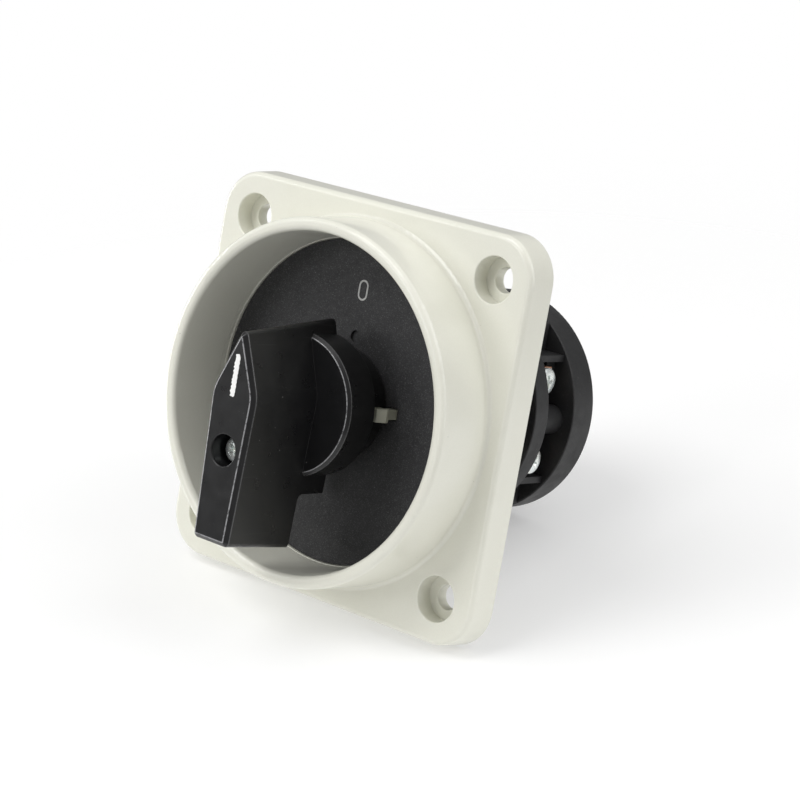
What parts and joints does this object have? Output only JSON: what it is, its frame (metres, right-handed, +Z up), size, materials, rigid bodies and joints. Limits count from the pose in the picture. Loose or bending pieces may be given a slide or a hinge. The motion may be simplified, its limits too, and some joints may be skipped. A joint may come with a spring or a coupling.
{
  "type": "rotary isolator switch",
  "caption": "Panel-mounted rotary isolator switch: light square front plate with guard collar, black dial and pointed handle, round black contact decks with screw terminals behind.",
  "frame": {"origin": "on the shaft axis in the plane of the front plate's back face, which lies on the panel", "axes": "+X to the right seen from the front, +Y back through the panel along the shaft, +Z up towards the figure 0"},
  "size_m": [0.088, 0.0925, 0.088],
  "materials": {
    "beige_plastic": "satin moulded thermoplastic, warm light grey",
    "dial_black": "fine spark-eroded texture",
    "print_grey": "pad-printed light grey",
    "handle_black": "smooth moulded black, soft gloss",
    "mark_white": "white paint fill",
    "zinc_steel": "bright zinc plate",
    "shaft_steel": "drawn steel",
    "brass": "turned",
    "bakelite": "moulded phenolic, semi-matte",
    "cam_nylon": "natural nylon",
    "spring_steel": "spring steel",
    "copper": "rolled copper with silver tips"
  },
  "bodies": {
    "housing": {"front_plate": "beige_plastic", "collar": "beige_plastic", "dial_plate": "dial_black", "dial_mark_zero": "print_grey", "dial_mark_one": "print_grey", "shaft_bush": "brass", "index_housing": "bakelite", "index_spring_upper": "spring_steel", "index_spring_lower": "spring_steel", "deck_housing_front": "bakelite", "contact_spring_front_upper": "spring_steel", "terminal_front_upper_left": "copper", "terminal_front_upper_right": "copper", "contact_spring_front_lower": "spring_steel", "terminal_front_lower_left": "copper", "terminal_front_lower_right": "copper", "deck_housing_rear": "bakelite", "contact_spring_rear_upper": "spring_steel", "terminal_rear_upper_left": "copper", "terminal_rear_upper_right": "copper", "contact_spring_rear_lower": "spring_steel", "terminal_rear_lower_left": "copper", "terminal_rear_lower_right": "copper", "terminal_screws": "zinc_steel", "terminal_clamps": "zinc_steel", "rear_cover": "bakelite", "tie_screws": "zinc_steel", "front_plate_screws": "zinc_steel"},
    "rotor": {"handle": "handle_black", "handle_pointer_mark": "mark_white", "handle_screw": "zinc_steel", "drive_hub": "handle_black", "shaft": "shaft_steel", "index_wheel": "cam_nylon", "cam_front": "cam_nylon", "cam_rear": "cam_nylon"},
    "carrier_front_upper": {"plunger_front_upper": "cam_nylon", "contact_bridge_front_upper": "copper"},
    "carrier_front_lower": {"plunger_front_lower": "cam_nylon", "contact_bridge_front_lower": "copper"},
    "carrier_rear_upper": {"plunger_rear_upper": "cam_nylon", "contact_bridge_rear_upper": "copper"},
    "carrier_rear_lower": {"plunger_rear_lower": "cam_nylon", "contact_bridge_rear_lower": "copper"}
  },
  "joints": [
    {"name": "handle_turn", "type": "hinge", "parent": "housing", "child": "rotor", "pos_m": [0, 0, 0], "axis": [0, 1, 0], "range_deg": [0, 90], "deforming": ["index_spring_upper", "index_spring_lower"]},
    {"name": "contact_slide_front_upper", "type": "slide", "parent": "housing", "child": "carrier_front_upper", "axis": [0, 0, 1], "range_m": [-0.003, 0], "deforming": ["contact_spring_front_upper"]},
    {"name": "contact_slide_front_lower", "type": "slide", "parent": "housing", "child": "carrier_front_lower", "axis": [0, 0, 1], "range_m": [0, 0.003], "deforming": ["contact_spring_front_lower"]},
    {"name": "contact_slide_rear_upper", "type": "slide", "parent": "housing", "child": "carrier_rear_upper", "axis": [0, 0, 1], "range_m": [-0.003, 0], "deforming": ["contact_spring_rear_upper"]},
    {"name": "contact_slide_rear_lower", "type": "slide", "parent": "housing", "child": "carrier_rear_lower", "axis": [0, 0, 1], "range_m": [0, 0.003], "deforming": ["contact_spring_rear_lower"]}
  ],
  "couplings": [
    {"joint": "contact_slide_front_upper", "follows": "handle_turn", "m_per_rad": -0.0019098},
    {"joint": "contact_slide_front_lower", "follows": "handle_turn", "m_per_rad": 0.0019098},
    {"joint": "contact_slide_rear_upper", "follows": "handle_turn", "m_per_rad": -0.0019098},
    {"joint": "contact_slide_rear_lower", "follows": "handle_turn", "m_per_rad": 0.0019098}
  ]
}
